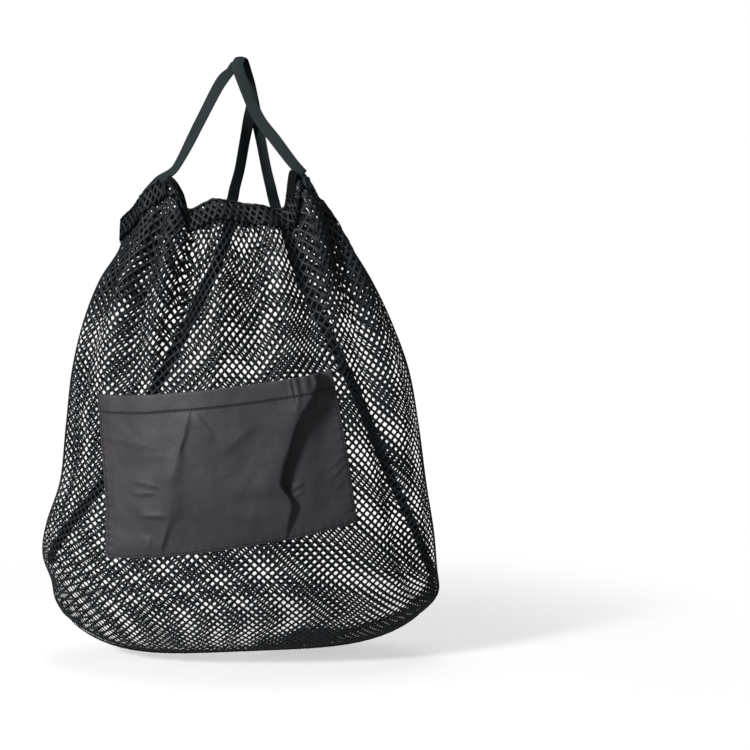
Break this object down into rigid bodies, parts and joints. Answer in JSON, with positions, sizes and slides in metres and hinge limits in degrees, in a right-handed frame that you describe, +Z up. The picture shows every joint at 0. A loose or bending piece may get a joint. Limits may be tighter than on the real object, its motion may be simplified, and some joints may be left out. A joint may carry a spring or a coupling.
{
  "type": "mesh tote bag",
  "caption": "Open-mesh sack with a gathered drawstring mouth, webbing straps drawn up to a hang point and a plain patch pocket on the front.",
  "frame": {"origin": "the hang point: under the straps where they pass over a hook or a hand", "axes": "+Z up, +X to the right of someone who faces the pocket, +Y from the pocket side to the back"},
  "size_m": [0.3785, 0.2092, 0.5738],
  "materials": {
    "mesh": "open knit mesh, satin",
    "webbing": "woven webbing, matt",
    "nylon": "plain woven nylon, slight sheen"
  },
  "bodies": {
    "root": {"mesh_front": "mesh", "mesh_back": "mesh", "casing_front": "mesh", "casing_back": "mesh", "bottom_seam": "mesh", "strap_left": "webbing", "strap_right": "webbing", "pocket_hem": "nylon", "pocket_panel": "nylon"}
  },
  "joints": []
}
